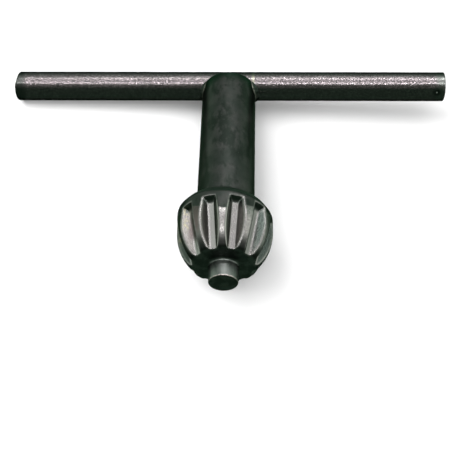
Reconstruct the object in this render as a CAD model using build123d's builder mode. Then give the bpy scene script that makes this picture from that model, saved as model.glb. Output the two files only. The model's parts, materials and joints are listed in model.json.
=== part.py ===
"""Drill chuck key: a toothed body with a pilot pin, and a straight bar welded across its end.

Millimetres, +Z up. The key lies on a table as it comes to rest: the shank's end and the gear's
back rim touch the table, and the key has rolled until the bar's left end touches it too. The
bar runs along X and the body towards -Y. The origin is on the table, under the key's middle.
"""

import os
from math import asin, atan2, cos, hypot, radians, sin, sqrt, tan

from build123d import *

os.makedirs("parts", exist_ok=True)

# Handle bar
bar_diameter = 4.4
bar_length = 65.8
left_end_break = 0.35
right_end_break = 0.15

# Shank, with heights counted along the body's axis from the bar's axis towards the pilot
shank_diameter = 8.1
shank_end = 0.95
weld_size = 0.5

# Gear: a bevelled back, a straight collar and a crown that curves in to the flat front
gear_diameter = 13.24
rim_height = 25.35
gear_length = 7.75
crown_length = 5.6
crown_drop = 2.14
front_round = 1.0
back_angle = 58.0
back_skew = 3.85
bevel_angle = 35.0
bevel_width = 0.82

# Teeth: straight gaps with a flat floor, which the run-out closes at the back
tooth_count = 11
tooth_turn = -1.2
floor_width = 0.85
front_depth = 0.33
floor_slope = 13.6
flank_angle = 35.0
root_radius = 0.12
runout_setback = 1.65
runout_overshoot = 0.17

# Pilot
pilot_diameter = 4.0
pilot_length = 2.7
pilot_edge_break = 0.15
pilot_root = 0.4

# Worked out from the sizes above
bar_radius = bar_diameter / 2
shank_radius = shank_diameter / 2
gear_radius = gear_diameter / 2
pilot_radius = pilot_diameter / 2
front_height = rim_height + gear_length
crown_height = front_height - crown_length
floor_radius = gear_radius - crown_drop - front_depth
runout_height = rim_height + runout_setback
pilot_tip = front_height + pilot_length

# Resting pose: the axis rises from the shank's end to the thicker gear, and the bar's left end
# drops to the table
rise = atan2(gear_radius - shank_radius, rim_height - shank_end)
axis_height = shank_radius * cos(rise) - shank_end * sin(rise)
contact_reach = bar_length / 2 - left_end_break
bar_slope = asin(axis_height / hypot(contact_reach, bar_radius)) - atan2(bar_radius, contact_reach)
roll = asin(sin(bar_slope) / cos(rise))

# The key's own frame: X along the bar, Y out of the body's upper side, Z from bar to pilot
axis_direction = Vector(0, -cos(rise), sin(rise))
bar_direction = Vector(cos(roll), sin(roll) * sin(rise), sin(roll) * cos(rise))
front_reach = pilot_tip * cos(rise) + (pilot_radius - pilot_edge_break) * sin(rise)
flat_end_reach = (bar_length / 2 - right_end_break) * bar_direction.Y
back_reach = flat_end_reach + bar_radius * sqrt(1 - bar_direction.Y**2)
key = Plane(
    origin=(0, (front_reach - back_reach) / 2, axis_height),
    x_dir=bar_direction,
    z_dir=axis_direction,
)
half_section = Plane(origin=key.origin, x_dir=key.x_dir, z_dir=-key.y_dir)
key_axis = Axis(key.origin, key.z_dir)
bar_axis = Axis(key.origin, key.x_dir)

# Handle bar: a plain rod with broken edges at both ends
with BuildPart() as handle_bar:
    with BuildSketch(half_section):
        with BuildLine():
            half = bar_length / 2
            Polyline(
                (-half, 0),
                (-half, bar_radius - left_end_break),
                (-half + left_end_break, bar_radius),
                (half - right_end_break, bar_radius),
                (half, bar_radius - right_end_break),
                (half, 0),
                close=True,
            )
        make_face()
    revolve(axis=bar_axis)
handle_bar.part.label = "handle_bar"

# One tooth gap as a cutter, on the +X side of an upright gear: the run-out's axis lies just
# outside the collar, so that its arc always comes out through the surface
slope = radians(floor_slope)
runout_floor = floor_radius + (front_height - runout_height) * tan(slope)
runout_radius = (gear_radius + runout_overshoot - runout_floor) / cos(slope)
gap_start = Plane(
    origin=(runout_floor, 0, runout_height),
    x_dir=(0, -1, 0),
    z_dir=(-sin(slope), 0, cos(slope)),
)
gap_side = Plane(origin=gap_start.origin, x_dir=gap_start.z_dir, z_dir=-gap_start.x_dir)
gap_depth = gear_radius - floor_radius
gap_length = (front_height - runout_height) / cos(slope) + gap_depth
gap_mouth = floor_width + 2 * gap_depth * tan(radians(flank_angle))

with BuildPart() as tooth_gap:
    # Section across the gap, run along the sloping floor out past the front
    with BuildSketch(gap_start.offset(-runout_radius)):
        Trapezoid(gap_mouth, gap_depth, 90 + flank_angle, align=(Align.CENTER, Align.MIN))
    extrude(amount=runout_radius + gap_length)
    # Seen from the side, the floor turns up in an arc at the back and closes the gap
    with BuildSketch(gap_side):
        with BuildLine():
            TangentArc((0, 0), (-runout_radius, runout_radius), tangent=(-1, 0))
            Polyline(
                (-runout_radius, runout_radius),
                (-runout_radius, gap_depth),
                (gap_length, gap_depth),
                (gap_length, 0),
                (0, 0),
            )
        make_face()
    extrude(amount=gap_mouth, both=True, mode=Mode.INTERSECT)
    # Rounded roots where the flanks meet the floor and its arc
    floors = tooth_gap.faces().sort_by_distance(gap_start.origin)[:2]
    roots = [edge for edge in floors.edges() if abs((edge @ 0.5).Y) > floor_width / 4]
    fillet(roots, root_radius)

# Back of the gear, struck a little out of square with the shank
rim_centre = key.origin + key.z_dir * rim_height
skewed_x = key.x_dir.rotate(Axis(key.origin, key.y_dir), -back_skew)
back_section = Plane(origin=rim_centre, x_dir=skewed_x, z_dir=-key.y_dir)
back_axis = Axis(rim_centre, back_section.y_dir)
bevel_start = (gear_radius - bevel_width, -bevel_width / tan(radians(bevel_angle)))
back_tip = (0, bevel_start[1] - bevel_start[0] / tan(radians(back_angle)))
envelope_top = 2 * gear_length
bevel_run_on = (gear_radius + envelope_top * tan(radians(bevel_angle)), envelope_top)

with BuildPart(key) as gear:
    # Blank: a collar and crown with a rounded front edge
    blank_start = rim_height + back_tip[1]
    crown_end = (gear_radius - crown_drop, front_height)
    with BuildSketch(half_section) as blank:
        with BuildLine():
            Polyline(
                crown_end,
                (0, front_height),
                (0, blank_start),
                (gear_radius, blank_start),
                (gear_radius, crown_height),
            )
            TangentArc((gear_radius, crown_height), crown_end, tangent=(0, 1))
        make_face()
        fillet(blank.vertices().sort_by_distance(crown_end)[0], front_round)
    revolve(axis=key_axis)
    # The blank's back is cut to two cones
    with BuildSketch(back_section):
        with BuildLine():
            Polyline(back_tip, bevel_start, bevel_run_on, (0, envelope_top), close=True)
        make_face()
    revolve(axis=back_axis, mode=Mode.INTERSECT)
    # Tooth gaps
    with PolarLocations(0, tooth_count, start_angle=90 - tooth_turn - 180 / tooth_count):
        add(tooth_gap.part, mode=Mode.SUBTRACT)

with BuildPart() as key_body:
    # Shank with the weld's flash round the bar, then the half-round seat for the bar
    with BuildSketch(key.offset(-shank_diameter)):
        Circle(shank_radius)
    extrude(amount=shank_diameter + rim_height)
    with BuildSketch(Plane(key.origin, z_dir=key.x_dir)):
        Circle(bar_radius)
    extrude(amount=shank_diameter, both=True)
    chamfer(key_body.edges().filter_by(GeomType.BSPLINE), weld_size)
    with BuildSketch(Plane(key.origin, z_dir=key.x_dir)):
        Circle(bar_radius)
    extrude(amount=shank_diameter, both=True, mode=Mode.SUBTRACT)
    split(bisect_by=key.offset(shank_end), keep=Keep.TOP)
    add(gear.part)
    # Pilot, with a rounded root and a broken edge
    with BuildSketch(half_section):
        with BuildLine():
            root_out = (pilot_radius + pilot_root, front_height)
            root_up = (pilot_radius, front_height + pilot_root)
            TangentArc(root_out, root_up, tangent=(-1, 0))
            Polyline(
                root_up,
                (pilot_radius, pilot_tip - pilot_edge_break),
                (pilot_radius - pilot_edge_break, pilot_tip),
                (0, pilot_tip),
                (0, front_height),
                root_out,
            )
        make_face()
    revolve(axis=key_axis)
key_body.part.label = "key_body"

export_step(handle_bar.part, "parts/handle_bar.step")
export_step(key_body.part, "parts/key_body.step")
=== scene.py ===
"""Drill chuck key on a pale floor: a blackened bar welded across a toothed body.

The two CAD nodes are replaced by finer meshes of the same shapes. Sizes are in millimetres in the
key's own frame (x along the bar, u out of the upper side, s from the bar towards the pilot) and
turn into metres where a mesh is made.
"""

import json
from math import acos, cos, pi, radians, sin, sqrt, tan

import bmesh
import bpy
import numpy as np
from mathutils import Matrix, Vector, noise


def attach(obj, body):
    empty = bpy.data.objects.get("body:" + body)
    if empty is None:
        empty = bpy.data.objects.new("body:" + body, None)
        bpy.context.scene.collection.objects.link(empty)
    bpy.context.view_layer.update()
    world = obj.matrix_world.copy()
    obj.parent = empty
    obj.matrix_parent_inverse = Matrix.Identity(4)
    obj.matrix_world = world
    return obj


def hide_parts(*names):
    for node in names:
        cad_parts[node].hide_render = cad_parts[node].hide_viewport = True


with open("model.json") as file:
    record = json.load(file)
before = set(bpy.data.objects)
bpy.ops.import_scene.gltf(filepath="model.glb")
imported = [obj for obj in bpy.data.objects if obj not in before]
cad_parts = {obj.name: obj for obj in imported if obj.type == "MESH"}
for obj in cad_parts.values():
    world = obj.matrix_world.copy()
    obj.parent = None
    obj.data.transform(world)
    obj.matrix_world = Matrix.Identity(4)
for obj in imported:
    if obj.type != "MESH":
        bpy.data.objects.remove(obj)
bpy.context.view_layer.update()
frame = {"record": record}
MM = 0.001

# Sizes of the bar and the body, as in the solids
BAR_R, BAR_HALF = 2.2, 32.9
LEFT_BREAK, RIGHT_BREAK = 0.35, 0.15
SHANK_R, SHANK_END = 4.05, 0.95
GEAR_R, RIM, CROWN, FRONT = 6.62, 25.35, 27.5, 33.1
CROWN_DROP, FRONT_ROUND = 2.14, 1.0
BACK_ANGLE, BACK_SKEW = radians(58.0), radians(3.85)
BEVEL_ANGLE, BEVEL_WIDTH = radians(35.0), 0.82
TEETH, TOOTH_TURN = 11, radians(-1.2)
FLOOR_WIDTH, FLOOR_R = 0.85, 4.15
FLOOR_SLOPE, FLANK_ANGLE = radians(13.6), radians(35.0)
RUNOUT, RUNOUT_OUTSIDE = 27.0, 0.17
PILOT_R, PILOT_TIP, PILOT_BREAK, PILOT_ROOT = 2.0, 35.8, 0.15, 0.4

# Rounding widths of the gear's edges, the shank's end and its seat, and how far the seat is sunk
CREST_EDGE, GAP_ROOT, SHANK_ROOT, BACK_EDGE = 0.22, 0.14, 0.3, 0.12
END_ROUND, SEAT_EDGE, SEAT_SINK = 0.12, 0.08, 0.03

# Flaws of the bar: places as distance along it and turn round it, then depths and heights
PIT_X, PIT_TURN, BURR_TURN, WORN_TURN = 31.6, radians(68), radians(66), radians(-30)
PIT_DEPTH, PIT_NIB, BURR_HEIGHT, WORN_DEPTH = 0.09, 0.08, 0.10, 0.36
COARSE_SWELL, FINE_SWELL = 0.012, 0.006
PIT_PLACE = (PIT_X, BAR_R * cos(PIT_TURN), BAR_R * sin(PIT_TURN))

# Weld beads: side of the body, name, leg on the bar, leg on the shank and seed of the lumps
WELDS = ((1, "weld_right", 0.58, 0.6, 2), (-1, "weld_left", 0.42, 0.5, 5))
WELD_STEPS, WELD_CURVE = 90, 7
WELD_RING = WELD_CURVE + 3
WELD_SINK = 0.12

# Worked out from the sizes
CROWN_R = (CROWN_DROP**2 + (FRONT - CROWN) ** 2) / (2 * CROWN_DROP)
CROWN_CENTRE = GEAR_R - CROWN_R
EDGE_S = FRONT - FRONT_ROUND
EDGE_R = CROWN_CENTRE + sqrt((CROWN_R - FRONT_ROUND) ** 2 - (EDGE_S - CROWN) ** 2)
BEVEL_BACK = -BEVEL_WIDTH / tan(BEVEL_ANGLE)
BACK_TIP = BEVEL_BACK - (GEAR_R - BEVEL_WIDTH) / tan(BACK_ANGLE)
RUNOUT_FLOOR = FLOOR_R + (FRONT - RUNOUT) * tan(FLOOR_SLOPE)
RUNOUT_R = (GEAR_R + RUNOUT_OUTSIDE - RUNOUT_FLOOR) / cos(FLOOR_SLOPE)
PITCH = 2 * pi / TEETH
FIRST_GAP = pi / 2 - TOOTH_TURN - PITCH / 2

# The key's frame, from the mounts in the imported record
mounts = {m["name"]: m for m in frame["record"]["mounts"]}
key_x = Vector(mounts["handle"]["axis"]).normalized()
key_s = Vector(mounts["pilot"]["axis"]).normalized()
key_u = key_s.cross(key_x)
key_frame = Matrix((key_x, key_u, key_s)).transposed().to_4x4()
key_frame.translation = Vector(mounts["handle"]["pos_m"])


def add_piece(name, verts_mm, faces, node=None, slot="body_steel"):
    """A smooth-shaded mesh piece riding on the root body, from points in the key's frame."""
    mesh = bpy.data.meshes.new(name)
    mesh.from_pydata([Vector(v) * MM for v in verts_mm], [], faces)
    mesh.transform(key_frame)
    mesh.validate()
    mesh.polygons.foreach_set("use_smooth", [True] * len(mesh.polygons))
    piece = bpy.data.objects.new(name, mesh)
    bpy.context.scene.collection.objects.link(piece)
    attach(piece, "root")
    if node:
        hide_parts(node)
    return piece


def grid_faces(rows, columns, first=0):
    """Quads over a grid that closes on itself round the columns."""
    faces = []
    for i in range(rows - 1):
        a = first + i * columns
        for j in range(columns):
            k = (j + 1) % columns
            faces.append((a + j, a + k, a + columns + k, a + columns + j))
    return faces


def capped_grid(rings, columns, start_tip, end_tip):
    """Vertices and faces of a row of rings that a fan closes at each end."""
    verts = np.vstack([[start_tip], rings, [end_tip]])
    tip = len(verts) - 1
    last_ring = tip - columns
    faces = [(0, 1 + (j + 1) % columns, 1 + j) for j in range(columns)]
    faces += grid_faces(len(rings) // columns, columns, first=1)
    faces += [(tip, last_ring + j, last_ring + (j + 1) % columns) for j in range(columns)]
    return verts, faces


def smooth_step(value, start, end):
    t = np.clip((value - start) / (end - start), 0, 1)
    return t * t * (3 - 2 * t)


def smooth_min(a, b, k):
    """The lesser of two fields, rounded over a width k where they meet."""
    h = np.maximum(k - np.abs(a - b), 0) / k
    return np.minimum(a, b) - h * h * k / 4


def smooth_max(a, b, k):
    return -smooth_min(-a, -b, k)


def noise_at(points, scale, seed):
    """Noise from -1 to 1 at points in mm, with features about 1/scale mm wide."""
    shift = Vector((seed * 17.3, seed * 5.1, seed * 9.7))
    return np.array([noise.noise(Vector(p) * scale + shift) for p in points])


def skewed_height(x, s):
    """Height over the rim, square to the gear's skewed back."""
    return (s - RIM) * cos(BACK_SKEW) - x * sin(BACK_SKEW)


def blank_depth(x, u, s):
    """Depth inside the gear without its gaps: collar, crown, rounded front and skewed back."""
    r = np.hypot(x, u)
    crown = CROWN_R - np.hypot(r - CROWN_CENTRE, s - CROWN)
    sides = np.minimum(np.where(s < CROWN, GEAR_R - r, crown), FRONT - s)
    across, along = r - EDGE_R, s - EDGE_S
    in_corner = (across > 0) & (along * (EDGE_R - CROWN_CENTRE) > across * (EDGE_S - CROWN))
    front = np.where(in_corner, FRONT_ROUND - np.hypot(across, along), sides)
    skewed_s = skewed_height(x, s)
    skewed_r = np.hypot(x * cos(BACK_SKEW) + (s - RIM) * sin(BACK_SKEW), u)
    bevel = (GEAR_R - skewed_r) * cos(BEVEL_ANGLE) + skewed_s * sin(BEVEL_ANGLE)
    back = (skewed_s - BACK_TIP) * sin(BACK_ANGLE) - skewed_r * cos(BACK_ANGLE)
    return smooth_min(front, smooth_min(bevel, back, BACK_EDGE), BACK_EDGE)


def gap_depth(x, u, s):
    """Depth inside the nearest tooth gap, height over its floor and place along it."""
    r, turn = np.hypot(x, u), np.arctan2(u, x)
    turn = (turn - FIRST_GAP + PITCH / 2) % PITCH - PITCH / 2
    out, back = r * np.cos(turn) - RUNOUT_FLOOR, s - RUNOUT
    along = back * cos(FLOOR_SLOPE) - out * sin(FLOOR_SLOPE)
    above = out * cos(FLOOR_SLOPE) + back * sin(FLOOR_SLOPE)
    arc = RUNOUT_R - np.hypot(along, np.maximum(RUNOUT_R - above, 0))
    height = np.where(along < 0, arc, above)
    half_width = FLOOR_WIDTH / 2 + above * tan(FLANK_ANGLE)
    flank = (half_width - np.abs(r * np.sin(turn))) * cos(FLANK_ANGLE)
    return smooth_min(height, flank, GAP_ROOT), height, along


def body_depth(x, u, s):
    """Depth inside the body between the shank and the front face."""
    far_outside = -9.0
    gear = smooth_min(blank_depth(x, u, s), -gap_depth(x, u, s)[0], CREST_EDGE)
    shank = np.where(s < RIM + 1, SHANK_R - np.hypot(x, u), far_outside)
    return smooth_max(gear, shank, SHANK_ROOT)


def solve_rays(theta, start_r, start_s, step_r, step_s, reach):
    """Surface points on rays that leave (start_r, start_s) in each half-plane theta."""
    low, high = np.zeros_like(theta), np.full_like(theta, reach)
    halvings = 30
    for _ in range(halvings):
        middle = (low + high) / 2
        r, s = start_r + step_r * middle, start_s + step_s * middle
        inside = body_depth(r * np.cos(theta), r * np.sin(theta), s) > 0
        low, high = np.where(inside, middle, low), np.where(inside, high, middle)
    return start_r + step_r * low, start_s + step_s * low


def shank_end_at(u):
    """Height of the shank's end: flat, with a seat for the bar that the bar's surface hides."""
    seat = np.sqrt(np.maximum((BAR_R - SEAT_SINK) ** 2 - u * u, 0))
    return smooth_max(seat, np.full_like(u, SHANK_END), SEAT_EDGE)


def spread(*stops):
    """Rows between stops, given as height, count, height, count, ... height."""
    heights, counts = stops[0::2], stops[1::2]
    parts = [np.linspace(a, b, n, endpoint=False) for a, b, n in zip(heights, heights[1:], counts)]
    return np.concatenate(parts + [[heights[-1]]])


def quarter_turns(steps):
    """Angles from just over nothing to a right angle, for the rows of a rounded edge."""
    return np.linspace(0, pi / 2, steps + 1)[1:]


def pilot_profile(start_r):
    """Radius and height from the front face's radius start_r to the middle of the pilot's end."""
    profile = [(radius, FRONT) for radius in np.linspace(start_r, PILOT_R + PILOT_ROOT, 5)[1:]]
    for turn in quarter_turns(8):
        radius = PILOT_R + PILOT_ROOT * (1 - sin(turn))
        profile.append((radius, FRONT + PILOT_ROOT * (1 - cos(turn))))
    wall_top = PILOT_TIP - PILOT_BREAK
    profile += [(PILOT_R, s) for s in np.linspace(FRONT + PILOT_ROOT, wall_top, 12)[1:]]
    for turn in quarter_turns(5):
        radius = PILOT_R - PILOT_BREAK * (1 - cos(turn))
        profile.append((radius, wall_top + PILOT_BREAK * sin(turn)))
    profile += [(radius, PILOT_TIP) for radius in np.linspace(PILOT_R - PILOT_BREAK, 0.2, 8)[1:]]
    return profile


def make_key_body():
    """The body as one closed grid: shank end, shank, gear, front face and pilot."""
    columns_per_tooth = 40
    columns = TEETH * columns_per_tooth
    theta = FIRST_GAP + np.arange(columns) * 2 * pi / columns
    rows = []

    # Shank end, from its middle out, with a slightly rounded edge
    for radius in np.linspace(0.25, SHANK_R - END_ROUND, 12):
        rows.append((np.full(columns, radius), shank_end_at(radius * np.sin(theta))))
    end_rim = shank_end_at(SHANK_R * np.sin(theta))
    for turn in quarter_turns(4):
        radius = SHANK_R - END_ROUND * (1 - sin(turn))
        rows.append((np.full(columns, radius), end_rim + END_ROUND * (1 - cos(turn))))

    # Wall of the shank beside the bar, from the uneven rim to a level row
    level, wall_start = 3.0, end_rim + END_ROUND
    for share in np.linspace(0, 1, 9)[1:-1]:
        rows.append((np.full(columns, SHANK_R), wall_start + (level - wall_start) * share))

    # Shank, back, collar and crown on rays out of the axis, whose rows follow the skewed rim
    pivot_r, pivot_s = 3.2, 31.5
    back_near, back_start, back_end, collar_start = 22.0, 22.9, 25.0, 25.7
    for height in spread(level, 24, back_near, 8, back_start, 30, back_end, 8, collar_start, 56, pivot_s):
        skew = smooth_step(height, 14, 22) * (1 - smooth_step(height, 26.5, 29))
        s = height + skew * GEAR_R * np.cos(theta) * tan(BACK_SKEW)
        rows.append(solve_rays(theta, 0, s, 1, 0, 8))

    # Front edge on a fan of rays, then the front face and the pilot
    for turn in quarter_turns(33):
        rows.append(solve_rays(theta, pivot_r, pivot_s, cos(turn), sin(turn), 4))
    rows += [(np.full(columns, r), np.full(columns, s)) for r, s in pilot_profile(pivot_r)]

    r = np.array([row[0] for row in rows])
    s = np.array([np.broadcast_to(row[1], (columns,)) for row in rows])
    rings = np.stack([r * np.cos(theta), r * np.sin(theta), s], axis=-1).reshape(-1, 3)
    return capped_grid(rings, columns, (0, 0, BAR_R - SEAT_SINK), (0, 0, PILOT_TIP))


def add_attribute(piece, name, values):
    attribute = piece.data.attributes.new(name, "FLOAT", "POINT")
    attribute.data.foreach_set("value", np.asarray(values, float))


def mark_zones(piece, points):
    """Stores where each point of the body lies on the gear, for the wear and the painted light and shade
    in its finish.
    """
    x, u, s = points.T
    r = np.hypot(x, u)
    blank, (gap, height, along) = blank_depth(x, u, s), gap_depth(x, u, s)
    on_gear = smooth_step(s, 25.5, 26) * (r > PILOT_R + PILOT_ROOT + 0.4)
    in_gap = on_gear * smooth_step(-gap, 0.12, 0.03)
    zones = {
        "in_gap": in_gap,
        "on_floor": in_gap * smooth_step(height, 0.22, 0.05),
        "in_pocket": in_gap * smooth_step(along, -0.15, -0.45),
        "up_flank": in_gap * np.clip(height / 1.3, 0, 1),
        "on_crest": on_gear * smooth_step(-gap, 0.05, 0.28) * smooth_step(FRONT - s, 0.5, 2.1),
        "on_back": smooth_step(skewed_height(x, s), 0.1, -0.3) * smooth_step(r, 4.2, 4.6),
        "on_edge": on_gear * smooth_step(-gap, 0.3, 0.02) * smooth_step(blank, 0.3, 0.02),
    }
    for name, values in zones.items():
        add_attribute(piece, name, values)


body_verts, body_faces = make_key_body()
key_body = add_piece("key_body_surface", body_verts, body_faces, node="key_body")
mark_zones(key_body, body_verts)


def bar_end_profile(end_break, side):
    """Rim of a bar's end from the face's middle out: distance along the bar and radius."""
    face = [(side * BAR_HALF, radius) for radius in np.linspace(0.25, BAR_R - end_break, 9)]
    edge = []
    for turn in quarter_turns(6):
        x = side * (BAR_HALF - end_break * (1 - cos(turn)))
        edge.append((x, BAR_R - end_break * (1 - sin(turn))))
    return face + edge


def make_bar():
    """The bar as one closed lathe grid, slightly uneven, with a pit, a burr and a worn left corner."""
    columns = 96
    turn = np.arange(columns) * 2 * pi / columns
    runs = spread(-BAR_HALF + LEFT_BREAK, 12, -30, 230, 30, 36, BAR_HALF - RIGHT_BREAK)[1:-1]
    right_end = bar_end_profile(RIGHT_BREAK, 1)[::-1]
    profile = bar_end_profile(LEFT_BREAK, -1) + [(x, BAR_R) for x in runs] + right_end
    x = np.repeat([p[0] for p in profile], columns)
    radius = np.repeat([p[1] for p in profile], columns)
    angle = np.tile(turn, len(profile))

    # Unevenness, pit and burr move the skin in or out
    skin = np.stack([x * 0.35, np.cos(angle) * 2, np.sin(angle) * 2], axis=-1)
    swell = COARSE_SWELL * noise_at(skin, 0.9, 3) + FINE_SWELL * noise_at(skin, 3.1, 4)
    to_pit = np.hypot(x - PIT_X, BAR_R * (angle - PIT_TURN))
    pit = PIT_NIB * smooth_step(to_pit, 0.25, 0.05) - PIT_DEPTH * smooth_step(to_pit, 0.45, 0.2)
    to_burr = np.hypot(x - BAR_HALF + 0.2, BAR_R * (angle - BURR_TURN) * 0.6)
    burr = BURR_HEIGHT * smooth_step(to_burr, 0.4, 0.05)
    radius = radius + (swell + pit + burr) * (radius > BAR_R - 0.4)

    # The worn corner is pushed back along the bar
    worn = smooth_step(np.cos(angle - WORN_TURN), 0.2, 1) * smooth_step(radius, 1.2, BAR_R)
    x = x + WORN_DEPTH * worn * smooth_step(-x, BAR_HALF - 1.2, BAR_HALF)
    rings = np.stack([x, radius * np.cos(angle), radius * np.sin(angle)], axis=-1)
    return capped_grid(rings, columns, (-BAR_HALF, 0, 0), (BAR_HALF, 0, 0))


handle_bar = add_piece("handle_bar_surface", *make_bar(), node="handle_bar", slot="bar_steel")


def make_weld(side, bar_leg, wall_leg, seed):
    """Weld bead along the seam on one side of the body, sunk a little into both pieces."""
    limit = acos(SHANK_END / BAR_R)
    verts = []
    for i in range(WELD_STEPS + 1):
        share = i / WELD_STEPS
        turn = limit * (2 * share - 1)
        out = Vector((0, sin(turn), cos(turn)))
        seam_x = side * sqrt(SHANK_R**2 - (BAR_R * sin(turn)) ** 2)
        point = Vector((seam_x, *(BAR_R * out)[1:]))
        wall = Vector((point.x, point.y, 0)).normalized()
        up_wall = (out - wall * out.dot(wall)).normalized()
        coarse = noise.noise(Vector((share * 9, seed, 0)))
        fine = noise.noise(Vector((share * 31, seed, 4)))
        lumps = 1 + 0.22 * coarse + 0.1 * fine
        width = lumps * (0.25 + 0.75 * min(1, 6 * share, 6 * (1 - share)))
        on_wall = point + up_wall * wall_leg * width
        on_bar = point + Vector((side, 0, 0)) * bar_leg * width
        pull = point + (on_wall - point) * 0.3 + (on_bar - point) * 0.3
        verts.append(on_wall - wall * WELD_SINK)
        for k in range(WELD_CURVE):
            t = k / (WELD_CURVE - 1)
            verts.append(on_wall * (1 - t) ** 2 + pull * 2 * t * (1 - t) + on_bar * t**2)
        verts += [on_bar - out * WELD_SINK, point - (wall + out) * 0.15]
    faces = grid_faces(WELD_STEPS + 1, WELD_RING)
    last_ring = WELD_STEPS * WELD_RING
    faces += [tuple(range(WELD_RING)), tuple(last_ring + k for k in reversed(range(WELD_RING)))]
    return verts, faces


def face_outwards(mesh):
    bead = bmesh.new()
    bead.from_mesh(mesh)
    bmesh.ops.recalc_face_normals(bead, faces=bead.faces)
    bead.to_mesh(mesh)
    bead.free()


for side, name, bar_leg, wall_leg, seed in WELDS:
    weld = add_piece(name, *make_weld(side, bar_leg, wall_leg, seed))
    face_outwards(weld.data)
    # The toe is the bead's edge on the shank: the first three points of each ring
    add_attribute(weld, "toe", [k % WELD_RING < 3 for k in range(len(weld.data.vertices))])


class Recipe:
    """Node tree of one material, with short calls for the nodes that the finishes share."""

    def __init__(self, name):
        self.material = bpy.data.materials.new(name)
        self.material.use_nodes = True
        self.tree = self.material.node_tree
        self.shader = self.tree.nodes["Principled BSDF"]
        place = self.tree.nodes.new("ShaderNodeTexCoord").outputs["Object"]
        into_key = {"Vector": place, "Location": key_frame.translation, "Scale": (MM, MM, MM)}
        into_key["Rotation"] = key_frame.to_euler()
        self.place = self.node("ShaderNodeMapping", into_key, vector_type="TEXTURE").outputs[0]

    def node(self, kind, inputs, **settings):
        made = self.tree.nodes.new(kind)
        for name, value in settings.items():
            setattr(made, name, value)
        for key, value in inputs.items():
            if isinstance(value, bpy.types.NodeSocket):
                self.tree.links.new(value, made.inputs[key])
            else:
                made.inputs[key].default_value = value
        return made

    def noise(self, scale, detail=3.0, rough=0.5, stretch=(1, 1, 1)):
        """Noise from about 0.3 to 0.7, with scale features to a millimetre."""
        place = self.node("ShaderNodeMapping", {"Vector": self.place, "Scale": stretch}).outputs[0]
        inputs = {"Vector": place, "Scale": scale, "Detail": detail, "Roughness": rough}
        return self.node("ShaderNodeTexNoise", inputs).outputs["Fac"]

    def math(self, operation, a, b=0.0):
        return self.node("ShaderNodeMath", {0: a, 1: b}, operation=operation).outputs[0]

    def plus(self, a, b, weight=1.0):
        """The sum of a and a weighted b."""
        return self.math("ADD", a, self.math("MULTIPLY", b, weight))

    def times(self, first, *others):
        """The product of two or more shares."""
        for other in others:
            first = self.math("MULTIPLY", first, other)
        return first

    def away(self, value, middle=0.0):
        """How far a value is from a middle one, either way."""
        return self.math("ABSOLUTE", self.math("SUBTRACT", value, middle))

    def between(self, value, low, high, to_low=0.0, to_high=1.0):
        """A smooth step from to_low, where the value is low, to to_high."""
        inputs = {"Value": value, "From Min": low, "From Max": high, "To Min": to_low, "To Max": to_high}
        return self.node("ShaderNodeMapRange", inputs, interpolation_type="SMOOTHSTEP").outputs["Result"]

    def mix(self, share, a, b):
        """The colour a, or b where the share is 1."""
        inputs = {0: share, 6: a, 7: b}
        return self.node("ShaderNodeMix", inputs, data_type="RGBA").outputs[2]

    def attribute(self, name):
        return self.node("ShaderNodeAttribute", {}, attribute_name=name).outputs["Fac"]

    def split(self):
        return self.node("ShaderNodeSeparateXYZ", {"Vector": self.place}).outputs

    def distance_to(self, point):
        inputs = {0: self.place, 1: point}
        return self.node("ShaderNodeVectorMath", inputs, operation="DISTANCE").outputs["Value"]

    def bump(self, height, depth_mm, normal=None):
        inputs = {"Height": height, "Distance": depth_mm * MM, "Strength": 1.0}
        if normal:
            inputs["Normal"] = normal
        return self.node("ShaderNodeBump", inputs).outputs[0]

    def connect(self, **sockets):
        for name, value in sockets.items():
            target = self.shader.inputs[name.replace("_", " ").title()]
            if isinstance(value, bpy.types.NodeSocket):
                self.tree.links.new(value, target)
            else:
                target.default_value = value


def rgb(r, g, b):
    return (r, g, b, 1.0)


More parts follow.
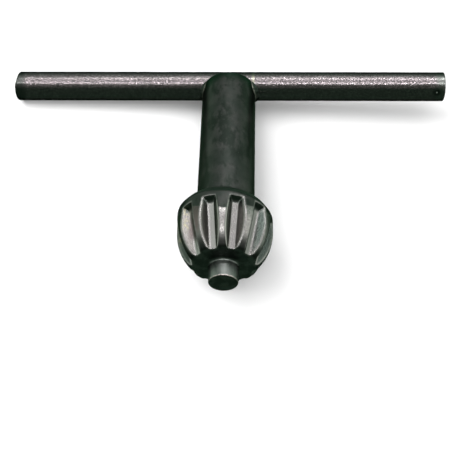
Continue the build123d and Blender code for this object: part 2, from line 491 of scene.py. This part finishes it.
def make_bar_steel():
    """Drawn rod under a thin dark oxide: grain along the bar, worn pinkish grey, worn to the metal at the
    ends, with painted highlights.
    """
    m = Recipe("bar_steel_finish")
    x, u = m.split()[:2]
    grain = m.noise(1.0, 2, 0.5, stretch=(4.2, 12.0, 12.0))
    flecks = m.noise(1.0, 1, 0.5, stretch=(4.0, 13.0, 13.0))
    streaks = m.noise(1.0, 3, 0.5, stretch=(0.12, 3.2, 3.2))
    patches = m.noise(0.45, 4, 0.6)

    # Oxide worn along the grain, with bright and dark flecks
    worn = m.between(m.plus(grain, patches, 0.3), 0.4, 0.75)
    colour = m.mix(worn, rgb(0.056, 0.055, 0.055), rgb(0.116, 0.099, 0.103))
    colour = m.mix(m.between(flecks, 0.52, 0.64), colour, rgb(0.22, 0.195, 0.205))
    colour = m.mix(m.between(flecks, 0.46, 0.36), colour, rgb(0.068, 0.064, 0.066))

    # Cut ends, the left one darker
    ends = m.between(m.plus(m.away(x), patches, 1.2), BAR_HALF - 1.3, BAR_HALF - 0.3)
    end_tone = m.mix(m.between(x, -1, 1), rgb(0.060, 0.063, 0.060), rgb(0.115, 0.118, 0.113))
    colour = m.mix(ends, colour, end_tone)

    # Darker ring round the pit, and a painted highlight: a bright pale dot on the nib in its middle
    to_pit = m.distance_to(PIT_PLACE)
    dark_ring = m.between(m.plus(to_pit, flecks, 0.8), 1.15, 0.75)
    colour = m.mix(dark_ring, colour, rgb(0.030, 0.034, 0.031))
    # Painted highlight on the pit's nib
    colour = m.mix(m.between(to_pit, 0.19, 0.09), colour, rgb(0.95, 0.72, 0.85))

    # Painted highlight: a pale straw spot on top of the bar, beside the right weld, where the light falls
    highlight_x = 3.7
    painted_highlight = m.times(m.between(m.away(x, highlight_x), 0.34, 0.06), m.between(u, 1.3, 1.8))
    colour = m.mix(painted_highlight, colour, rgb(0.19, 0.18, 0.15))

    # The left half is duller
    rough = m.between(grain, 0.3, 0.7, 0.19, 0.12)
    rough = m.plus(rough, m.between(x, -4.0, -14.0, 0.0, 0.07))
    normal = m.bump(grain, 0.013)
    normal = m.bump(streaks, 0.010, normal)
    tint = rgb(0.12, 0.14, 0.13)
    m.connect(base_color=colour, metallic=1.0, roughness=rough, normal=normal, specular_tint=tint)
    return m.material


def make_body_steel():
    """Turned body under green-black oxide, worn to the metal on the crests, bright where it was milled,
    with painted light and shade.
    """
    m = Recipe("body_steel_finish")
    x, u, s = m.split()
    speckle = m.noise(3.2, 4, 0.6)
    patches = m.noise(0.35, 4, 0.55)
    blotches = m.noise(0.6, 5, 0.62, stretch=(1, 1, 0.55))
    rings = m.noise(1.0, 3, 0.6, stretch=(0.25, 0.25, 7))
    gap, floor, up_flank = m.attribute("in_gap"), m.attribute("on_floor"), m.attribute("up_flank")

    # Oxide, darker and greener near the bar, paler on the gear's back as painted light, and paler on its
    # front
    colour = m.mix(m.between(patches, 0.35, 0.7), rgb(0.027, 0.031, 0.028), rgb(0.047, 0.046, 0.045))
    colour = m.mix(m.between(blotches, 0.53, 0.38), colour, rgb(0.019, 0.023, 0.020))
    colour = m.mix(m.between(speckle, 0.64, 0.78), colour, rgb(0.075, 0.080, 0.076))
    # Darker and greener towards the bar's end of the shank
    near_bar = m.between(m.plus(s, patches, 2.4), 4.6, 2.6)
    colour = m.mix(near_bar, colour, rgb(0.008, 0.018, 0.012))
    # Painted light: the gear's back is paler
    colour = m.mix(m.attribute("on_back"), colour, rgb(0.085, 0.102, 0.090))
    front = m.mix(m.between(blotches, 0.42, 0.6), rgb(0.060, 0.067, 0.063), rgb(0.115, 0.122, 0.117))
    colour = m.mix(m.between(s, FRONT - 0.15, FRONT), colour, front)

    # Flanks of the gaps with painted light and shade: lighter towards the crest, darker low and right,
    # brightest beside the top one
    flank = m.mix(up_flank, rgb(0.085, 0.080, 0.077), rgb(0.120, 0.113, 0.110))
    flank_shaded = m.mix(up_flank, rgb(0.017, 0.022, 0.019), rgb(0.062, 0.071, 0.065))
    flank_shade_share = m.math("MAXIMUM", m.between(u, 2.4, 0.8), m.between(x, 2.8, 4.2, 0.0, 0.85))
    flank = m.mix(flank_shade_share, flank, flank_shaded)
    # Painted highlight on the flanks beside the top tooth
    flank = m.mix(m.between(m.away(x, 0.1), 1.15, 0.85), flank, rgb(0.24, 0.235, 0.225))

    # Floors of the gaps with painted light, brighter on the left; painted shade in the dull right gap and
    # the run-out pockets
    floor_painted_light = m.mix(m.between(x, -0.5, 0.5), rgb(0.190, 0.182, 0.181), rgb(0.126, 0.120, 0.119))
    colour = m.mix(gap, colour, m.mix(floor, flank, floor_painted_light))
    painted_shade_right_gap = m.times(gap, m.between(x, 4.3, 4.7), m.between(floor, 1.0, 0.0))
    colour = m.mix(painted_shade_right_gap, colour, rgb(0.034, 0.041, 0.037))
    # Painted shade in the run-out pockets
    colour = m.mix(m.attribute("in_pocket"), colour, rgb(0.055, 0.060, 0.056))

    # Crests worn to the metal from a curved line forwards, with painted shade making them darker on the
    # left
    worn_start = m.plus(28.6, m.away(x), -0.3)
    worn_line = m.between(m.plus(m.plus(s, patches, 0.9), worn_start, -1.0), 0.0, 0.3)
    worn = m.times(m.attribute("on_crest"), worn_line)
    crest_wear_and_shade = m.mix(m.between(speckle, 0.35, 0.7), rgb(0.125, 0.118, 0.117), rgb(0.200, 0.190, 0.186))
    # Painted shade: the crests darker on the left
    crest_wear_and_shade = m.mix(m.between(x, -2.2, -3.0), crest_wear_and_shade, rgb(0.085, 0.083, 0.080))
    colour = m.mix(worn, colour, crest_wear_and_shade)

    # Brown wear between the left gaps and rust stains in the left one
    cut_or_worn = m.math("MAXIMUM", gap, worn)
    brown = m.times(m.between(x, -4.9, -4.3), m.between(x, -2.9, -3.3), m.between(u, 2.2, 3.0))
    brown = m.times(brown, m.between(m.plus(s, blotches, 1.2), 32.0, 30.6), cut_or_worn)
    colour = m.mix(brown, colour, rgb(0.066, 0.054, 0.053))
    spots = m.between(m.noise(2.2, 2, 0.5), 0.45, 0.6)
    stains = m.times(m.between(x, -4.3, -5.0), m.between(s, 30.0, 29.0), spots, cut_or_worn)
    colour = m.mix(stains, colour, rgb(0.125, 0.116, 0.088))

    # Rubbed tooth edges away from the centre, partly a painted highlight, and a painted highlight on the
    # pilot's rim
    outer = m.between(m.away(x), 1.0, 2.2)
    rub_and_highlight = m.times(m.attribute("on_edge"), outer, m.between(speckle, 0.3, 0.6, 0.25, 1.0))
    colour = m.mix(rub_and_highlight, colour, rgb(0.16, 0.153, 0.15))
    # Painted highlight along the pilot's rim
    rim_start = m.between(s, PILOT_TIP - 0.18, PILOT_TIP - 0.1)
    rim_end = m.between(s, PILOT_TIP - 0.005, PILOT_TIP - 0.03)
    pilot_rim = m.times(rim_start, rim_end, m.between(speckle, 0.35, 0.6))
    colour = m.mix(pilot_rim, colour, rgb(0.40, 0.34, 0.33))

    rough = m.between(m.plus(gap, worn), 0, 1, 0.36, 0.26)
    normal = m.bump(rings, 0.006)
    normal = m.bump(speckle, 0.009, normal)
    tint = rgb(0.48, 0.58, 0.50)
    m.connect(base_color=colour, metallic=1.0, roughness=rough, normal=normal, specular_tint=tint)
    return m.material


def make_weld_steel():
    """Weld metal: dull dark grey with a scaly skin and a straw line along its toe."""
    m = Recipe("weld_finish")
    scale = m.noise(4.5, 4, 0.65)
    patches = m.noise(1.1, 3, 0.5)
    colour = m.mix(m.between(patches, 0.35, 0.7), rgb(0.020, 0.027, 0.022), rgb(0.050, 0.055, 0.048))
    toe = m.times(m.attribute("toe"), m.between(scale, 0.35, 0.6))
    colour = m.mix(toe, colour, rgb(0.17, 0.17, 0.145))
    rough = m.between(scale, 0.3, 0.7, 0.5, 0.36)
    normal = m.bump(scale, 0.03)
    tint = rgb(0.12, 0.15, 0.13)
    m.connect(base_color=colour, metallic=1.0, roughness=rough, normal=normal, specular_tint=tint)
    return m.material


finishes = {"handle_bar_surface": make_bar_steel(), "key_body_surface": make_body_steel()}
finishes["weld_right"] = finishes["weld_left"] = make_weld_steel()
for name, material in finishes.items():
    bpy.data.objects[name].data.materials.append(material)


def make_floor():
    """A wide plain pale table under the key."""
    half = 1.5
    corners = [(-half, -half, 0), (half, -half, 0), (half, half, 0), (-half, half, 0)]
    mesh = bpy.data.meshes.new("floor")
    mesh.from_pydata(corners, [], [(0, 1, 2, 3)])
    floor = bpy.data.objects.new("floor", mesh)
    bpy.context.scene.collection.objects.link(floor)
    material = bpy.data.materials.new("floor_paper")
    material.use_nodes = True
    shader = material.node_tree.nodes["Principled BSDF"]
    shader.inputs["Base Color"].default_value = rgb(0.86, 0.86, 0.86)
    shader.inputs["Roughness"].default_value = 0.9
    shader.inputs["Specular IOR Level"].default_value = 0.1
    mesh.materials.append(material)
    floor.visible_glossy = False


make_floor()


def add_softbox(name, back, right, width, length, radiance, colour=(1, 1, 1), distance=0.6):
    """Rectangular light over the key, tilted back and right of straight up by degrees.

    Its width and length are angles too, as seen from the key.
    """
    light = bpy.data.lights.new(name, "AREA")
    light.shape = "RECTANGLE"
    light.size = 2 * distance * tan(radians(width) / 2)
    light.size_y = 2 * distance * tan(radians(length) / 2)
    light.energy = radiance * pi * light.size * light.size_y
    light.color = colour
    softbox = bpy.data.objects.new(name, light)
    bpy.context.scene.collection.objects.link(softbox)
    towards = Vector((sin(radians(right)), sin(radians(back)) * cos(radians(right)), 0))
    towards.z = sqrt(1 - towards.length_squared)
    side = Vector((1, 0, 0)) - towards * towards.x
    side.normalize()
    turn = Matrix((side, towards.cross(side), towards)).transposed().to_4x4()
    softbox.matrix_world = Matrix.Translation(towards * distance) @ turn
    return softbox


# Reflectors that the steel shows, and lamps that light the table
reflectors = [
    add_softbox("panel", 8, 0, 70, 34, 1.4, (1.0, 0.92, 0.955)),
    add_softbox("front_strip", -11, 0, 70, 3, 21.0, distance=0.58),
    add_softbox("back_strip", 27, 7, 60, 3, 21.0, distance=0.58),
    add_softbox("front_glow", -30, 0, 70, 34, 0.26, (1.0, 0.92, 0.9)),
    add_softbox("back_glow", 40, 6, 28, 16, 1.5),
    add_softbox("left_panel", 2, -60, 44, 40, 0.5, (1.0, 0.93, 0.94)),
    add_softbox("right_panel", 2, 58, 44, 40, 1.2, (1.0, 0.93, 0.94)),
]
lamps = [
    add_softbox("key_lamp", 18, -36, 50, 50, 3.5),
    add_softbox("fill_lamp", -28, 0, 120, 120, 1.65),
]
for softbox in reflectors:
    softbox.visible_diffuse = False
for softbox in lamps:
    softbox.visible_glossy = False


def make_studio():
    """Surroundings that the steel reflects: a lit wall, brighter high up and most so at the sides.

    It is dark below the horizon and in front of the key.
    """
    world = bpy.data.worlds.new("studio")
    bpy.context.scene.world = world
    world.use_nodes = True
    tree = world.node_tree
    direction = tree.nodes.new("ShaderNodeTexCoord").outputs["Generated"]

    def fade(facing, start, end):
        """From 1 to 0 as the direction turns from facing start to facing end."""
        dot = tree.nodes.new("ShaderNodeVectorMath")
        dot.operation = "DOT_PRODUCT"
        dot.inputs[1].default_value = facing
        tree.links.new(direction, dot.inputs[0])
        share = tree.nodes.new("ShaderNodeMapRange")
        share.interpolation_type = "SMOOTHSTEP"
        for key, value in (("From Min", start), ("From Max", end), ("To Min", 1.0), ("To Max", 0.0)):
            share.inputs[key].default_value = value
        tree.links.new(dot.outputs["Value"], share.inputs["Value"])
        return share.outputs["Result"]

    def mix(share, a, b):
        """The colour a, or b where the share is 1."""
        blend = tree.nodes.new("ShaderNodeMix")
        blend.data_type = "RGBA"
        tree.links.new(share, blend.inputs[0])
        for key, colour in ((6, a), (7, b)):
            if isinstance(colour, tuple):
                blend.inputs[key].default_value = colour
            else:
                tree.links.new(colour, blend.inputs[key])
        return blend.outputs[2]

    up, back = (0, 0, 1), (0, 1, 0)
    dark, side_wall = rgb(0.085, 0.145, 0.10), rgb(1.35, 1.6, 1.38)
    wall = mix(fade(up, 0.8, 0.15), rgb(0.26, 0.44, 0.33), rgb(1.08, 1.20, 1.12))
    for side in ((1, 0, 0), (-1, 0, 0)):
        wall = mix(fade(side, 0.9, 0.45), wall, side_wall)
    wall = mix(fade(up, -0.15, -0.5), dark, wall)
    wall = mix(fade(back, 0.05, -0.5), dark, wall)
    tree.links.new(wall, tree.nodes["Background"].inputs["Color"])
    world.cycles_visibility.diffuse = False


make_studio()
bpy.context.scene.view_settings.view_transform = "Standard"

# Camera at the photograph's angle: position in mm, then its right, up and backward directions
camera_place = Vector((-0.937, -70.148, 113.909)) * MM
camera_right = Vector((0.99914, 0.02286, 0.03457)).normalized()
camera_back = camera_right.cross(Vector((-0.03671, 0.87545, 0.48191))).normalized()
camera_up = camera_back.cross(camera_right)
camera_turn = Matrix((camera_right, camera_up, camera_back)).transposed().to_4x4()
lens = bpy.data.cameras.new("camera")
lens.sensor_fit = "HORIZONTAL"
lens.angle = radians(29.477)
lens.clip_start = 0.01
camera = bpy.data.objects.new("camera", lens)
bpy.context.scene.collection.objects.link(camera)
camera.matrix_world = Matrix.Translation(camera_place) @ camera_turn
bpy.context.scene.camera = camera
